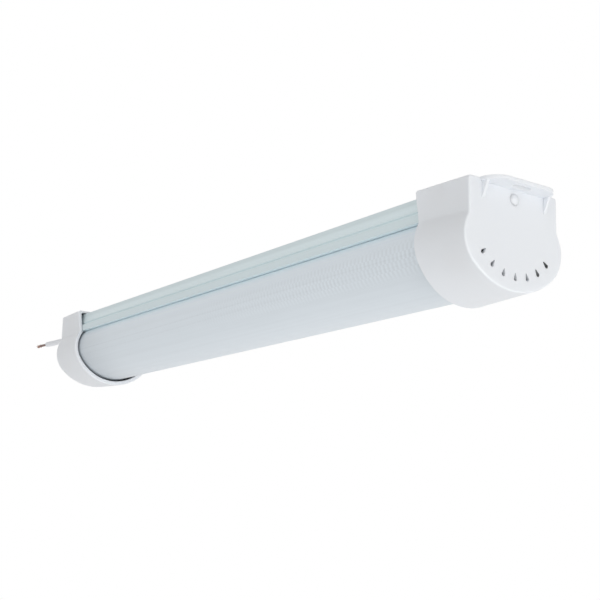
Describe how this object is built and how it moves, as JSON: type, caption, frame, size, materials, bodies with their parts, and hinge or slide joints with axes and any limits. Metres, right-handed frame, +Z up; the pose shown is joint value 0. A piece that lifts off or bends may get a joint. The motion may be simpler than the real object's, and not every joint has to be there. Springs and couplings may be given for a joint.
{
  "type": "led ceiling light",
  "caption": "Linear LED ceiling batten: extruded housing, round prismatic diffuser, vented end caps with fixing hoods, and a short bare-ended supply cable.",
  "frame": {"origin": "on the ceiling plane, midway between the end caps' faces and on the light's centre line", "axes": "+Z up to the ceiling, +X along the length towards the closed end without a cable, +Y across"},
  "size_m": [0.7692, 0.0868, 0.0712],
  "materials": {
    "housing": "satin anodised, drawn lengthwise",
    "diffuser": "translucent, fine prismatic grid",
    "cap": "moulded, fine satin",
    "bush": "matte",
    "clamp": "moulded",
    "screw": "zinc plated",
    "sheath": "satin",
    "live": "satin",
    "neutral": "satin",
    "copper": "bare strands",
    "terminal": "moulded",
    "button": "moulded",
    "foam": "foam",
    "tray": "moulded",
    "circuit_board": "solder mask",
    "fuse": "moulded",
    "ferrite": "fired",
    "can": "sleeved",
    "winding": "taped",
    "lead_red": "satin",
    "lead_black": "satin",
    "tape": "matte",
    "led_board": "white solder mask",
    "chip": "phosphor"
  },
  "bodies": {
    "housing": {"housing_extrusion": "housing", "diffuser": "diffuser", "thermal_tape": "tape", "led_board": "led_board", "led_chips": "chip", "board_screws": "screw", "board_connector": "terminal", "led_lead_plus": "lead_red", "led_lead_minus": "lead_black", "lead_grommet": "bush", "driver_pad": "foam", "driver_tray": "tray", "driver_board": "circuit_board", "fuse": "fuse", "filter_choke": "ferrite", "bulk_capacitors": "can", "transformer_core": "ferrite", "transformer_winding": "winding", "output_terminal": "terminal", "input_terminal": "terminal"},
    "near_cap": {"near_end_cap": "cap"},
    "plug": {"blanking_plug": "cap"},
    "far_cap": {"far_end_cap": "cap", "cable_bush": "bush", "cord_clamp": "clamp", "clamp_screws": "screw", "supply_cable_inner": "sheath", "lead_live": "live", "lead_neutral": "neutral", "supply_cable": "sheath", "core_live": "live", "core_neutral": "neutral", "wire_tips": "copper"},
    "live_release": {"live_button": "button"},
    "neutral_release": {"neutral_button": "button"}
  },
  "joints": [
    {"name": "near_cap_pull", "type": "slide", "parent": "housing", "child": "near_cap", "axis": [1, 0, 0], "range_m": [0, 0.06]},
    {"name": "plug_pull", "type": "slide", "parent": "near_cap", "child": "plug", "axis": [1, 0, 0], "range_m": [0, 0.012]},
    {"name": "far_cap_pull", "type": "slide", "parent": "housing", "child": "far_cap", "axis": [-1, 0, 0], "range_m": [0, 0.06]},
    {"name": "live_button_press", "type": "slide", "parent": "housing", "child": "live_release", "axis": [0, 0, -1], "range_m": [0, 0.0012], "stiffness_N_per_m": 800},
    {"name": "neutral_button_press", "type": "slide", "parent": "housing", "child": "neutral_release", "axis": [0, 0, -1], "range_m": [0, 0.0012], "stiffness_N_per_m": 800}
  ]
}
